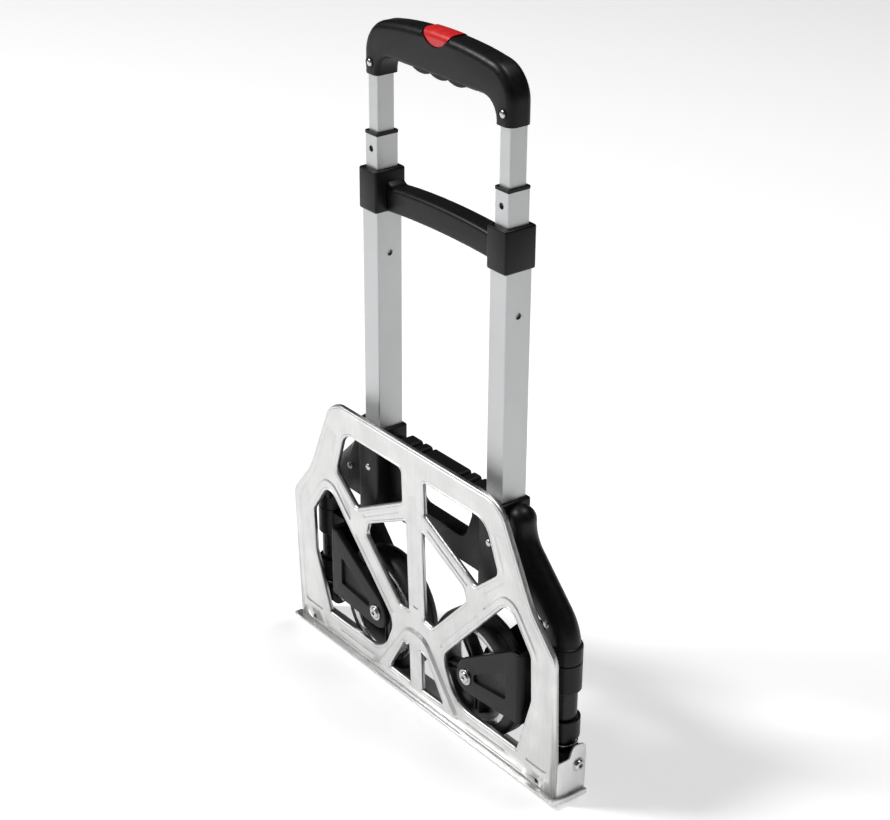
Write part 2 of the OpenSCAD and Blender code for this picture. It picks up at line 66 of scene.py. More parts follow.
studio = {
    # the sky is brightest towards brightWay and darkest away from it
    "brightWay": (-0.62, -0.76, 0.1), "darkest": 0.08, "brightest": 0.78,
    "skySpan": 0.9, "backdrop": 0.82,
    "key": {"place": (-3.0, -3.2, 4.6), "size": 1.5, "power": 255},
    "side": {"place": (3.6, 1.4, 2.6), "size": 0.9, "power": 3},
    "top": {"place": (0.4, 1.2, 5.0), "size": 1.7, "power": 95},
    "floor": (0.96, 0.96, 0.96), "floorHalf": 30, "floorRough": 0.9, "floorShine": 0.1, "glow": 0.34,
}


def addLight(name, place, size, power, target=(0, 0, 0.4)):
    data = bpy.data.lights.new(name, "AREA")
    data.shape = "DISK"
    data.size = size
    data.energy = power
    light = bpy.data.objects.new(name, data)
    light.location = place
    light.rotation_euler = (Vector(target) - Vector(place)).to_track_quat("-Z", "Y").to_euler()
    scene.collection.objects.link(light)


def addSky(s):
    world = bpy.data.worlds.new("studio")
    scene.world = world
    world.use_nodes = True
    nodes, links = world.node_tree.nodes, world.node_tree.links
    coords = nodes.new("ShaderNodeTexCoord")
    facing = nodes.new("ShaderNodeVectorMath")
    facing.operation = "DOT_PRODUCT"
    facing.inputs[1].default_value = s["brightWay"]
    ramp = nodes.new("ShaderNodeMapRange")
    ramp.inputs["From Min"].default_value = -s["skySpan"]
    ramp.inputs["From Max"].default_value = s["skySpan"]
    ramp.inputs["To Min"].default_value = s["darkest"]
    ramp.inputs["To Max"].default_value = s["brightest"]
    links.new(coords.outputs["Generated"], facing.inputs[0])
    links.new(facing.outputs["Value"], ramp.inputs["Value"])
    links.new(ramp.outputs["Result"], nodes["Background"].inputs["Strength"])
    backdrop = nodes.new("ShaderNodeBackground")
    backdrop.inputs["Strength"].default_value = s["backdrop"]
    both = nodes.new("ShaderNodeMixShader")
    path = nodes.new("ShaderNodeLightPath")
    links.new(path.outputs["Is Camera Ray"], both.inputs[0])
    links.new(nodes["Background"].outputs[0], both.inputs[1])
    links.new(backdrop.outputs[0], both.inputs[2])
    links.new(both.outputs[0], nodes["World Output"].inputs["Surface"])


def addStudio(s):
    scene.view_settings.view_transform = "Standard"
    addSky(s)
    for name in ("key", "side", "top"):
        addLight(name, **s[name])
    bm = bmesh.new()
    bmesh.ops.create_grid(bm, x_segments=1, y_segments=1, size=s["floorHalf"])
    mesh = bpy.data.meshes.new("floor")
    bm.to_mesh(mesh)
    bm.free()
    floor = bpy.data.objects.new("floor", mesh)
    scene.collection.objects.link(floor)
    material = bpy.data.materials.new("paleFloor")
    material.use_nodes = True
    shader = material.node_tree.nodes["Principled BSDF"]
    shader.inputs["Base Color"].default_value = (*s["floor"], 1)
    shader.inputs["Roughness"].default_value = s["floorRough"]
    shader.inputs["Specular IOR Level"].default_value = s["floorShine"]
    shader.inputs["Emission Color"].default_value = (1, 1, 1, 1)
    shader.inputs["Emission Strength"].default_value = s["glow"]
    mesh.materials.append(material)


addCamera(cameraSet)
addStudio(studio)
print("studio ready")


noiseSpan = (0.3, 0.7)  # most of a noise's values lie in here


# A finish: colour varied by a fine and a broad noise, roughness by the fine one, and a bump
def makeFinish(name, s):
    material = bpy.data.materials.new(name)
    material.use_nodes = True
    nodes, links = material.node_tree.nodes, material.node_tree.links
    shader = nodes["Principled BSDF"]
    shader.inputs["Metallic"].default_value = s["metallic"]
    for socket, value in s.get("shader", {}).items():
        shader.inputs[socket].default_value = value
    coords = nodes.new("ShaderNodeTexCoord")
    mapping = nodes.new("ShaderNodeMapping")
    mapping.inputs["Scale"].default_value = s.get("stretch", (1, 1, 1))
    links.new(coords.outputs["Object"], mapping.inputs["Vector"])

    def noise(scale, detail, stretched=True):
        node = nodes.new("ShaderNodeTexNoise")
        node.inputs["Scale"].default_value = scale
        node.inputs["Detail"].default_value = detail
        source = mapping.outputs["Vector"] if stretched else coords.outputs["Object"]
        links.new(source, node.inputs["Vector"])
        return node.outputs["Fac"]

    def spread(source, low, high):
        node = nodes.new("ShaderNodeMapRange")
        node.inputs["From Min"].default_value = noiseSpan[0]
        node.inputs["From Max"].default_value = noiseSpan[1]
        node.inputs["To Min"].default_value = low
        node.inputs["To Max"].default_value = high
        links.new(source, node.inputs["Value"])
        return node.outputs["Result"]

    fine = noise(s["fineScale"], 6.0)
    broad = noise(s["broadScale"], 3.0, stretched=False)
    both = nodes.new("ShaderNodeMath")
    both.operation = "ADD"
    links.new(spread(fine, 0, s["fineShare"]), both.inputs[0])
    links.new(spread(broad, 0, 1 - s["fineShare"]), both.inputs[1])
    tint = nodes.new("ShaderNodeMix")
    tint.data_type = "RGBA"
    tint.inputs["A"].default_value = (*s["colour"], 1)
    tint.inputs["B"].default_value = (*s["second"], 1)
    links.new(both.outputs[0], tint.inputs["Factor"])
    links.new(tint.outputs["Result"], shader.inputs["Base Color"])
    links.new(spread(fine, *s["roughness"]), shader.inputs["Roughness"])
    height = fine
    if s.get("grain"):
        height = noise(s["grain"], 2.0, stretched=False)
    bump = nodes.new("ShaderNodeBump")
    bump.inputs["Strength"].default_value = s["bump"]
    bump.inputs["Distance"].default_value = s["bumpDepth"]
    links.new(height, bump.inputs["Height"])
    links.new(bump.outputs["Normal"], shader.inputs["Normal"])
    return material


finishes = {
    "tube_aluminium": {"metallic": 1.0, "colour": (0.56, 0.565, 0.57), "second": (0.63, 0.635, 0.64),
        "stretch": (1, 1, 0.012), "fineScale": 2600, "fineShare": 0.4, "broadScale": 9,
        "roughness": (0.42, 0.56), "bump": 0.25, "bumpDepth": 0.00003},
    "plate_aluminium": {"metallic": 1.0, "colour": (0.62, 0.62, 0.615), "second": (0.80, 0.80, 0.795),
        "stretch": (1, 1, 0.04), "fineScale": 650, "fineShare": 0.5, "broadScale": 34,
        "roughness": (0.3, 0.52), "bump": 0.2, "bumpDepth": 0.00004},
    "black_plastic": {"metallic": 0.0, "colour": (0.004, 0.004, 0.0042), "second": (0.009, 0.009, 0.0092),
        "fineScale": 240, "fineShare": 0.5, "broadScale": 22, "grain": 2600,
        "roughness": (0.33, 0.46), "bump": 0.22, "bumpDepth": 0.00006,
        "shader": {"Specular IOR Level": 0.24}},
    "red_plastic": {"metallic": 0.0, "colour": (0.62, 0.012, 0.018), "second": (0.74, 0.03, 0.03),
        "fineScale": 160, "fineShare": 0.5, "broadScale": 40, "grain": 2200,
        "roughness": (0.24, 0.34), "bump": 0.1, "bumpDepth": 0.00004},
    "black_paint": {"metallic": 0.0, "colour": (0.006, 0.006, 0.0063), "second": (0.012, 0.012, 0.0125),
        "fineScale": 500, "fineShare": 0.5, "broadScale": 30, "grain": 1500,
        "roughness": (0.26, 0.34), "bump": 0.05, "bumpDepth": 0.00002,
        "shader": {"Specular IOR Level": 0.3}},
    "tyre_rubber": {"metallic": 0.0, "colour": (0.006, 0.006, 0.006), "second": (0.015, 0.015, 0.0145),
        "fineScale": 300, "fineShare": 0.5, "broadScale": 30, "grain": 1800,
        "roughness": (0.5, 0.68), "bump": 0.3, "bumpDepth": 0.0001},
    "rim_plastic": {"metallic": 0.0, "colour": (0.055, 0.055, 0.057), "second": (0.085, 0.085, 0.088),
        "fineScale": 240, "fineShare": 0.5, "broadScale": 30, "grain": 2200,
        "roughness": (0.34, 0.46), "bump": 0.15, "bumpDepth": 0.00006},
    "bright_steel": {"metallic": 1.0, "colour": (0.5, 0.5, 0.51), "second": (0.64, 0.64, 0.64),
        "fineScale": 700, "fineShare": 0.5, "broadScale": 90,
        "roughness": (0.2, 0.34), "bump": 0.15, "bumpDepth": 0.00003},
}
materials = {slot: makeFinish(slot, s) for slot, s in finishes.items()}
nodeSlots = {row["node"]: row["material_slot"] for row in frame["record"]["subparts"]}
for node, cadPiece in frame["nodes"].items():
    cadPiece.data.materials.clear()
    cadPiece.data.materials.append(materials[nodeSlots[node]])
print("finishes ready")


# Pieces are drawn in millimetres, in the truck's own frame, and brought to metres here
def finishPiece(name, bm, body, slot, replaced=(), angle=32, keepNormals=False):
    bmesh.ops.remove_doubles(bm, verts=bm.verts, dist=weld)
    if not keepNormals:
        bmesh.ops.recalc_face_normals(bm, faces=bm.faces)
    bmesh.ops.scale(bm, vec=(mm, mm, mm), verts=bm.verts)
    mesh = bpy.data.meshes.new(name)
    bm.to_mesh(mesh)
    bm.free()
    mesh.polygons.foreach_set("use_smooth", [True] * len(mesh.polygons))
    mesh.set_sharp_from_angle(angle=radians(angle))
    mesh.materials.append(materials[slot])
    piece = bpy.data.objects.new(name, mesh)
    scene.collection.objects.link(piece)
    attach(piece, body)
    if replaced:
        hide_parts(*replaced)
    return piece


def toSide(bm, side):
    if side == "left":
        bmesh.ops.scale(bm, vec=(-1, 1, 1), verts=bm.verts)
        bmesh.ops.reverse_faces(bm, faces=bm.faces)


# A face in X and Z at depth y, whose corners are rounded to the radii given
def roundedFace(bm, points, radii, y=0.0, steps=6):
    corners = [bm.verts.new((x, y, z)) for x, z in points]
    bm.faces.new(corners)
    offsets = []
    for i, vert in enumerate(corners):
        before = corners[i - 1].co - vert.co
        after = corners[(i + 1) % len(corners)].co - vert.co
        offsets.append(radii[i] / tan(before.angle(after) / 2) if radii[i] else 0)
    anchor = None
    for vert, offset in zip(corners, offsets):
        if offset:
            made = bmesh.ops.bevel(bm, geom=[vert], offset=offset, offset_type="OFFSET",
                segments=steps, profile=0.5, affect="VERTICES", clamp_overlap=False, material=-1)
            anchor = made["verts"][0]
        else:
            anchor = vert
    return anchor.link_faces[0]


def capEdges(faces):
    return list({edge for face in faces for edge in face.edges})


def roundEdges(bm, edges, width, steps):
    bmesh.ops.bevel(bm, geom=[e for e in edges if e.is_valid], offset=width, offset_type="OFFSET",
        segments=steps, profile=0.5, affect="EDGES", clamp_overlap=False, material=-1)


# Gives a flat face its thickness along Y, and returns the cap at the other end
def thicken(bm, face, depth):
    made = bmesh.ops.extrude_face_region(bm, geom=[face])
    back = next(item for item in made["geom"] if isinstance(item, bmesh.types.BMFace))
    bmesh.ops.translate(bm, vec=(0, depth, 0), verts=back.verts)
    return back


# A plate from y0 to y1, with the rims of both caps softened
def slab(bm, points, radii, y0, y1, soft, steps=3, cornerSteps=6):
    face = roundedFace(bm, points, radii, y0, cornerSteps)
    back = thicken(bm, face, y1 - y0)
    roundEdges(bm, capEdges([face, back]), soft, steps)


def softBox(bm, low, high, soft, steps=3):
    low, high = Vector(low), Vector(high)
    size, middle = high - low, (low + high) / 2
    place = Matrix.Translation(middle) @ Matrix.Diagonal((*size, 1))
    made = bmesh.ops.create_cube(bm, size=1, matrix=place)
    roundEdges(bm, list({e for v in made["verts"] for e in v.link_edges}), soft, steps)


# Turns a profile of (radius, distance along the axis) right round an axis along Y or Z
def lathe(bm, profile, centre, axis, steps=roundSteps, closed=False):
    axis, centre = Vector(axis), Vector(centre)
    out = Vector((1, 0, 0))
    verts = [bm.verts.new(centre + out * r + axis * a) for r, a in profile]
    edges = [bm.edges.new(pair) for pair in zip(verts, verts[1:])]
    if closed:
        edges.append(bm.edges.new((verts[-1], verts[0])))
    bmesh.ops.spin(bm, geom=verts + edges, cent=centre, axis=axis, angle=2 * pi, steps=steps,
        use_merge=True)


# Toe plate, drawn flat in X and Z, then leaned back and set on its foot
toePlateSet = {
    "halfWidth": 240, "height": 328, "shoulder": 177, "neck": (202, 222), "corner": 152,
    "cornerR": [0, 0, 25, 80, 35, 35, 80, 25], "below": -10, "lean": 2.1, "foot": (0, -33, 8.9),
    "wall": 2.2, "flange": 5.6,
    # each step inwards from an edge: distance, then how far the sheet rises to the front
    "edgeSteps": [(0.05, 3.7), (0.3, 0.85), (0.55, 0.6), (0.75, 0.35), (0.6, 0.1), (0.9, 0),
                  (0.45, -0.45), (0.45, 0.45)],
    # distance from the middle, height and radius
    "screwHole": (210, 7.1, 2.9), "cupBack": 1,
    "screwCup": [(0, 2.2), (4.6, 2.2), (4.6, 1.4), (4.0, 1.2), (3.4, 1.2), (0, 1.6)],
}
windowShapes = {
    "upper": ([(127.5, 295), (148, 239), (109, 205), (19.6, 253), (19.6, 295)], [22, 10, 8, 5, 6]),
    "middle": ([(14.2, 231), (87.2, 194), (92.7, 178.8), (30.5, 112.3), (14.2, 114.5)], [3, 8, 6, 6, 3]),
    "wheel": ([(165, 212.5), (200.6, 163.5), (200.6, 107), (175.5, 30), (68, 29.5), (44.7, 82)],
              [16, 12, 12, 4, 38, 20]),
}
centreWindow = ([(10.9, 71), (21.8, 67.6), (51.2, 19.5), (10.9, 18.5)], [2, 4, 3, 2])
archShape = ([(-80.5, 8.5), (80.5, 8.5), (18, 93.5), (-18, 93.5)], [7, 7, 24, 24])
archSteps = [(0.6, 0.3), (2.8, 3.2), (0.6, 0.3)]
# regions pressed back into the sheet on each side: outline, radii, steps of (distance, depth)
pressedShapes = {
    "field": ([(141, 287), (162, 290), (194, 219), (229, 173), (229, 24), (189, 24), (210, 104), (210.4, 167),
               (166, 228), (121, 179), (121, 202), (154.4, 231.6), (157.2, 243)],
              [4, 7, 60, 22, 8, 5, 26, 22, 22, 3, 3, 9, 12], [(0.5, 0.2), (1.1, 1.1), (0.5, 0.2)]),
    "strut": ([(46.2, 92.7), (115.2, 167.5), (111.2, 171.2), (42.2, 96.4)], [2, 2, 2, 2],
              [(0.4, 0.15), (0.9, 0.8), (0.4, 0.1)]),
    "brace": ([(25, 236.5), (95, 198.2), (98.2, 203.4), (28, 243)], [2, 2, 2, 2],
              [(0.4, 0.15), (0.9, 0.7), (0.4, 0.1)]),
    "rib": ([(86, 14), (156, 14), (156, 18), (86, 18)], [1.5, 1.5, 1.5, 1.5], [(0.5, 0.2), (0.8, 0.6)]),
    "foot": ([(88, 3.6), (186, 3.6), (186, 7), (88, 7)], [1.4, 1.4, 1.4, 1.4], [(0.5, 0.2), (0.7, 0.5)]),
}
spineShape = ([(-6.5, 122), (6.5, 122), (6.5, 268), (-6.5, 268)], [5, 5, 5, 5],
              [(0.5, 0.2), (1.0, 0.9), (0.5, 0.2)])


def mirrored(shape):
    points, radii = shape[0], shape[1]
    return [(-x, z) for x, z in reversed(points)], list(reversed(radii))


def pressRegion(bm, faces, steps, way, boundary=False):
    for distance, depth in steps:
        bmesh.ops.inset_region(bm, faces=faces, thickness=distance, depth=0, use_even_offset=True,
            use_boundary=boundary)
        verts = list({v for f in faces for v in f.verts})
        bmesh.ops.translate(bm, vec=(0, way * depth, 0), verts=verts)


def fillSheet(bm, edges):
    made = bmesh.ops.triangle_fill(bm, use_beauty=True, use_dissolve=False, edges=edges,
        normal=(0, -1, 0))
    return [item for item in made["geom"] if isinstance(item, bmesh.types.BMFace)]


def addToePlate(s):
    bm = bmesh.new()
    outer, pressed, discs = [], [], []

    def loopOf(shape, keep=False, steps=6):
        face = roundedFace(bm, shape[0], shape[1], steps=steps)
        edges = list(face.edges)
        if not keep:
            bmesh.ops.delete(bm, geom=[face], context="FACES_ONLY")
        return edges, face

    half, top, below = s["halfWidth"], s["height"], s["below"]
    shoulder, neck, corner = s["shoulder"], s["neck"], s["corner"]
    outline = ([(-half, below), (half, below), (half, shoulder), neck, (corner, top), (-corner, top),
                (-neck[0], neck[1]), (-half, shoulder)], s["cornerR"])
    outer += loopOf(outline, steps=10)[0]
    for shape in windowShapes.values():
        for each in (shape, mirrored(shape)):
            outer += loopOf(each)[0]
    for shape in pressedShapes.values():
        for each in (shape, mirrored(shape)):
            edges, face = loopOf(each, keep=True)
            outer += edges
            pressed.append(([face], shape[2], 1))
    edges, face = loopOf(spineShape, keep=True)
    outer += edges
    pressed.append(([face], spineShape[2], 1))
    holeX, holeZ, holeR = s["screwHole"]
    for x in (-holeX, holeX):
        place = Matrix.Translation((x, 0, holeZ)) @ Matrix.Rotation(radians(90), 4, "X")
        made = bmesh.ops.create_circle(bm, cap_ends=True, segments=20, radius=holeR, matrix=place)
        disc = made["verts"][0].link_faces[0]
        discs.append(disc)
        outer += list(disc.edges)
    archEdges = loopOf(archShape, steps=10)[0]
    inner = list(archEdges)
    for each in (centreWindow, mirrored(centreWindow)):
        inner += loopOf(each)[0]
    fillSheet(bm, outer + archEdges)
    archFaces = fillSheet(bm, inner)
    pressed.append((archFaces, archSteps, -1))
    for faces, steps, way in pressed:
        pressRegion(bm, faces, steps, way)
    pressRegion(bm, list(bm.faces), s["edgeSteps"], -1, boundary=True)
    bmesh.ops.delete(bm, geom=discs, context="FACES")
    bmesh.ops.translate(bm, vec=(0, s["flange"], 0), verts=bm.verts)
    bmesh.ops.bisect_plane(bm, geom=list(bm.verts) + list(bm.edges) + list(bm.faces),
        plane_co=(0, 0, 0), plane_no=(0, 0, -1), clear_outer=True)
    bmesh.ops.recalc_face_normals(bm, faces=bm.faces)
    if sum(f.normal.y * f.calc_area() for f in bm.faces) > 0:
        bmesh.ops.reverse_faces(bm, faces=bm.faces)
    lean = Matrix.Rotation(radians(s["lean"]), 3, "X")
    bmesh.ops.rotate(bm, cent=(0, 0, 0), matrix=lean, verts=bm.verts)
    bmesh.ops.translate(bm, vec=s["foot"], verts=bm.verts)
    piece = finishPiece("toePlateSheet", bm, "toe", "plate_aluminium", ("toe_plate",), angle=30,
        keepNormals=True)
    wall = piece.modifiers.new("wall", "SOLIDIFY")
    wall.thickness = s["wall"] * mm
    wall.offset = -1
    wall.use_even_offset = True
    wall.thickness_clamp = 2


# The dark cups that show through the two screw holes
def addScrewCups(s):
    bm = bmesh.new()
    x, z = s["screwHole"][:2]
    for way in (-1, 1):
        place = (way * x, s["foot"][1] + s["cupBack"], s["foot"][2] + z)
        lathe(bm, s["screwCup"], place, (0, 1, 0), 24)
    finishPiece("screwCups", bm, "toe", "black_plastic")


addToePlate(toePlateSet)
addScrewCups(toePlateSet)
print("toe plate ready")


# Extrudes an open loop of edges by a straight move, and returns the new loop
def pushLoop(bm, edges, move):
    made = bmesh.ops.extrude_edge_only(bm, edges=edges)
    verts = [v for v in made["geom"] if isinstance(v, bmesh.types.BMVert)]
    bmesh.ops.translate(bm, vec=move, verts=verts)
    return [e for e in made["geom"] if isinstance(e, bmesh.types.BMEdge) and e.is_boundary]


# A plate seen from the front (-Y): an outline, regions pressed in, rounded rims and a back
def frontFace(bm, outline, presses, rimSteps, front, depth, cornerSteps=6):
    rise = sum(step[1] for step in rimSteps)
    made = set(bm.faces)
    face = roundedFace(bm, *outline, front + rise, cornerSteps)
    edges = list(face.edges)
    regions = []
    for points, radii, steps in presses:
        inner = roundedFace(bm, points, radii, front + rise, cornerSteps)
        edges += list(inner.edges)
        regions.append((inner, steps))
    if regions:
        bmesh.ops.delete(bm, geom=[face], context="FACES_ONLY")
        fillSheet(bm, edges)
    for inner, steps in regions:
        pressRegion(bm, [inner], steps, 1)
    fresh = [f for f in bm.faces if f not in made]
    pressRegion(bm, fresh, rimSteps, -1, boundary=True)
    fresh = [f for f in bm.faces if f not in made]
    rim = list({e for f in fresh for e in f.edges if e.is_boundary})
    bmesh.ops.contextual_create(bm, geom=pushLoop(bm, rim, (0, depth - rise, 0)))


def circlePoints(x, z, radius, count):
    turns = [2 * pi * i / count for i in range(count)]
    return [(x + radius * cos(turn), z + radius * sin(turn)) for turn in turns]


def boltHead(bm, x, z, y, radius, height, socket=3.0):
    rim = [(0.1, height * 0.5), (0.4, height * 0.25), (0.8, height * 0.15), (0.9, height * 0.05), (0.5, 0)]
    outline = (circlePoints(x, z, radius, 40), [0] * 40)
    hexagon = (circlePoints(x, z, socket, 6), [0] * 6, [(0.2, 0.25), (0.05, height * 0.9)])
    frontFace(bm, outline, [hexagon], rim, y - height, height)


rivetProfile = [(0, -1.9), (1.4, -1.85), (2.7, -1.5), (3.7, -0.9), (4.2, -0.35), (4.3, 0), (4.5, 0.02),
                (4.5, 0.5), (0, 0.5)]


def rivetDome(bm, x, y, z):
    lathe(bm, rivetProfile, (x, y, z), (0, 1, 0), smallSteps)


# Nodes whose edges are softened: width and segments
softSet = {
    "grip_underside": (1.6, 4), "lower_panel": (1.6, 3),
    "post_foot_left": (1.0, 3), "post_foot_right": (1.0, 3),
}
softRule = {"merge": 0.00001, "flat": 1, "sharp": 35}


# A copy of a CAD node whose edges are softened
def softCopy(node, width, segments):
    bm = bmesh.new()
    bm.from_mesh(frame["nodes"][node].data)
    bmesh.ops.remove_doubles(bm, verts=bm.verts, dist=softRule["merge"])
    bmesh.ops.dissolve_limit(bm, angle_limit=radians(softRule["flat"]), verts=bm.verts, edges=bm.edges)
    bmesh.ops.scale(bm, vec=(1 / mm, 1 / mm, 1 / mm), verts=bm.verts)
    piece = finishPiece(node + "_soft", bm, nodeBodies[node], nodeSlots[node], (node,), angle=40)
    edge = piece.modifiers.new("edge", "BEVEL")
    edge.width = width * mm
    edge.segments = segments
    edge.limit_method = "ANGLE"
    edge.angle_limit = radians(softRule["sharp"])
    edge.harden_normals = True


bodies = frame["record"]["behaviour"]["bodies"]
nodeBodies = {node: body for body, nodes in bodies.items() for node in nodes}
for node, (width, segments) in softSet.items():
    softCopy(node, width, segments)
print("softened pieces ready")

# Grip, its release button and its rivets
gripSet = {
    "outline": ([(0, 797.9), (121, 777.9), (121, 722.7), (97, 722.7), (97, 746.7), (-97, 746.7),
                 (-97, 722.7), (-121, 722.7), (-121, 777.9)], [480, 38, 0, 0, 21.5, 21.5, 0, 0, 38]),
    "half": 15, "outerSoft": 9, "innerSoft": 5, "innerHalf": 97.5, "innerTop": 747, "legFoot": 723.5,
    "slotZ": 799.5, "slotR": 23.6, "slotHalf": 25,
    "pocket": ((-22.3, -13.8, 768), (22.3, 13.8, 800)), "pocketSoft": 0.5,
    "button": ([(0, 792.7), (-27, 791.3), (-27, 770), (27, 770), (27, 791.3)], [470, 0, 0, 0, 0]),
    "buttonHalf": 13.4, "buttonSoft": 8.4, "buttonTop": 790, "buttonR": 23.1,
    "rivet": (109, 735),
    "rivetRing": [(4.7, 0.4), (4.7, -0.5), (5.1, -0.9), (5.7, -0.9), (6.1, -0.4), (6.1, 0.4)],
}


# Cuts a shape out of a piece, or keeps only what is inside it
def carve(piece, bm, operation, angle=35):
    bmesh.ops.remove_doubles(bm, verts=bm.verts, dist=weld)
    bmesh.ops.recalc_face_normals(bm, faces=bm.faces)
    bmesh.ops.scale(bm, vec=(mm, mm, mm), verts=bm.verts)
    mesh = bpy.data.meshes.new("cutter")
    bm.to_mesh(mesh)
    bm.free()
    cutter = bpy.data.objects.new("cutter", mesh)
    scene.collection.objects.link(cutter)
    cut = piece.modifiers.new("cut", "BOOLEAN")
    cut.operation = operation
    cut.solver = "EXACT"
    cut.object = cutter
    evaluated = piece.evaluated_get(bpy.context.evaluated_depsgraph_get())
    carved = bpy.data.meshes.new_from_object(evaluated)
    piece.modifiers.clear()
    piece.data = carved
    bpy.data.objects.remove(cutter)
    carved.polygons.foreach_set("use_smooth", [True] * len(carved.polygons))
    carved.set_sharp_from_angle(angle=radians(angle))


def roundBar(z, radius, half):
    bm = bmesh.new()
    lathe(bm, [(0, -half), (radius, -half), (radius, half), (0, half)], (0, 0, z), (0, 1, 0), fineSteps)
    return bm


def addGrip(s):
    bm = bmesh.new()
    face = roundedFace(bm, *s["outline"], -s["half"], 14)
    back = thicken(bm, face, 2 * s["half"])

    def isFoot(edge):
        return all(v.co.z < s["legFoot"] for v in edge.verts)

    def isInner(edge):
        return all(abs(v.co.x) < s["innerHalf"] and v.co.z < s["innerTop"] for v in edge.verts)

    rims = [e for e in capEdges([face, back]) if not isFoot(e)]
    inner = [e for e in rims if isInner(e)]
    roundEdges(bm, [e for e in rims if e not in inner], s["outerSoft"], 8)
    roundEdges(bm, inner, s["innerSoft"], 5)
    shell = finishPiece("gripShell", bm, "handle_stage", "black_plastic", ("grip_shell",), angle=35)
    carve(shell, roundBar(s["slotZ"], s["slotR"], s["slotHalf"]), "DIFFERENCE")
    pocket = bmesh.new()
    softBox(pocket, *s["pocket"], s["pocketSoft"])
    carve(shell, pocket, "DIFFERENCE")


def addButton(s):
    bm = bmesh.new()
    face = roundedFace(bm, *s["button"], -s["buttonHalf"], 14)
    back = thicken(bm, face, 2 * s["buttonHalf"])
    rims = capEdges([face, back])
    topRims = [e for e in rims if all(v.co.z > s["buttonTop"] for v in e.verts)]
    roundEdges(bm, topRims, s["buttonSoft"], 8)
    button = finishPiece("releaseButton", bm, "release", "red_plastic", ("release_button",), angle=35)
    carve(button, roundBar(s["slotZ"], s["buttonR"], s["slotHalf"]), "INTERSECT")


def addGripRivets(s):
    rivets, rings = bmesh.new(), bmesh.new()
    x, z = s["rivet"]
    for way in (-1, 1):
        rivetDome(rivets, way * x, -s["half"], z)
        lathe(rings, s["rivetRing"], (way * x, -s["half"], z), (0, 1, 0), smallSteps)
    finishPiece("gripRivets", rivets, "handle_stage", "bright_steel", ("grip_rivets",))
    finishPiece("gripRivetRings", rings, "handle_stage", "black_plastic")


addGrip(gripSet)
addButton(gripSet)
addGripRivets(gripSet)
print("grip ready")

# Cross bridge at the top of the outer tubes
bridgeSet = {
    "collar": ((93.5, -20, 572), (124.5, 20, 619.5)), "collarSoft": 2.6, "lip": 4.2, "lipDepth": 1.4,
    "bar": ([(94, 572), (0, 581), (-94, 572), (-94, 606), (-88, 601.2), (0, 609.5), (88, 601.2),
             (94, 606)], [0, 960, 0, 0, 8, 800, 8, 0]),
    "barY": (-6, 19.5), "barSoft": 5,
}


sunkWall = 0.3  # how far a sunk face's wall slopes in
levelReach = 0.01  # a face this close to a level lies in it


# A box sleeve whose ends are sunk around the tube that runs through it
def sleeve(bm, low, high, soft, lip, depth):
    old = set(bm.faces)
    softBox(bm, low, high, soft)
    for level, way in ((low[2], 1), (high[2], -1)):
        fresh = [f for f in bm.faces if f not in old]
        flat = [f for f in fresh if abs(f.calc_center_median().z - level) < levelReach]
        end = max(flat, key=lambda f: f.calc_area())
        bmesh.ops.inset_region(bm, faces=[end], thickness=lip - soft, use_even_offset=True)
        bmesh.ops.inset_region(bm, faces=[end], thickness=sunkWall, use_even_offset=True)
        bmesh.ops.translate(bm, vec=(0, 0, way * depth), verts=end.verts)


def addBridge(s):
    bm = bmesh.new()
    for way in (-1, 1):
        low, high = s["collar"]
        spanX = sorted((way * low[0], way * high[0]))
        sleeve(bm, (spanX[0], *low[1:]), (spanX[1], *high[1:]), s["collarSoft"], s["lip"], s["lipDepth"])
    slab(bm, *s["bar"], *s["barY"], s["barSoft"], 5, 16)
    finishPiece("upperBridge", bm, "frame", "black_plastic", ("upper_bridge",), angle=35)


addBridge(bridgeSet)
print("bridge ready")

# Corner brackets, drawn on the right
cornerSet = {
    "socket": ((91, -23, 195), (127, 20, 312.5)), "socketSoft": 2.4, "lip": 4.2, "lipDepth": 1.6,
    "postX": 213.6, "armR": 16, "bendZ": 174, "bendR": 50, "bend": 45, "slant": 68, "armTop": 296,
    "ringSteps": 40, "bendSteps": 12, "domeSteps": 8,
    "collar": [(14.4, 161.5), (17.6, 161.5), (18.2, 162.1), (18.2, 179.6), (17.8, 180.8), (16.8, 181.6),
               (15.2, 181.8)],
    "web": ([(109, 296), (109, 211.5), (178, 211.5), (200, 196), (200, 178), (213.6, 178), (209.6, 205),
             (160, 250), (136.2, 296)], [0, 0, 20, 20, 0, 0, 10, 10, 0]),
    "webY": (-16.1, 4), "webSoft": 1.2,
    "rivets": [(132, -16.1, 289), (154.7, -16.1, 243), (198, -16.1, 202), (109, -23, 262)],
}


# Spins an open loop of edges through part of a turn, and returns the last loop
def turnLoop(bm, edges, centre, axis, angle, steps):
    verts = list({v for e in edges for v in e.verts})
    made = bmesh.ops.spin(bm, geom=verts + edges, cent=centre, axis=axis, angle=angle, steps=steps)
    return [e for e in made["geom_last"] if isinstance(e, bmesh.types.BMEdge)]


